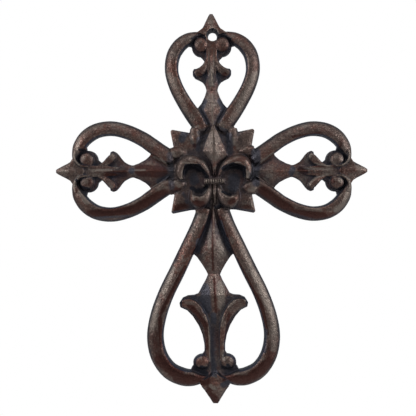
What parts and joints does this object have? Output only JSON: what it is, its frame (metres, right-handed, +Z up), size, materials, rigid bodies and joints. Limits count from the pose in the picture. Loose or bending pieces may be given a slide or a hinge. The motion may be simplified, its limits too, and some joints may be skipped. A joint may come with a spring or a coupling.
{
  "type": "cast iron wall cross",
  "caption": "Decorative cast iron wall cross with heart-shaped scrolled loops round a square plate with a fleur-de-lis, flat at the back and hung by a nail hole.",
  "frame": {"origin": "on the flat back, behind the middle of the square plate where the arms cross", "axes": "+Z up the cross towards the nail hole, +X across it, +Y out of the flat back into the wall, so the carved face looks along -Y"},
  "size_m": [0.2032, 0.014, 0.254],
  "materials": {
    "iron": "dark brown patina with blue-black recesses, semi-gloss, sand-cast texture"
  },
  "bodies": {
    "root": {"cross": "iron"}
  },
  "joints": []
}
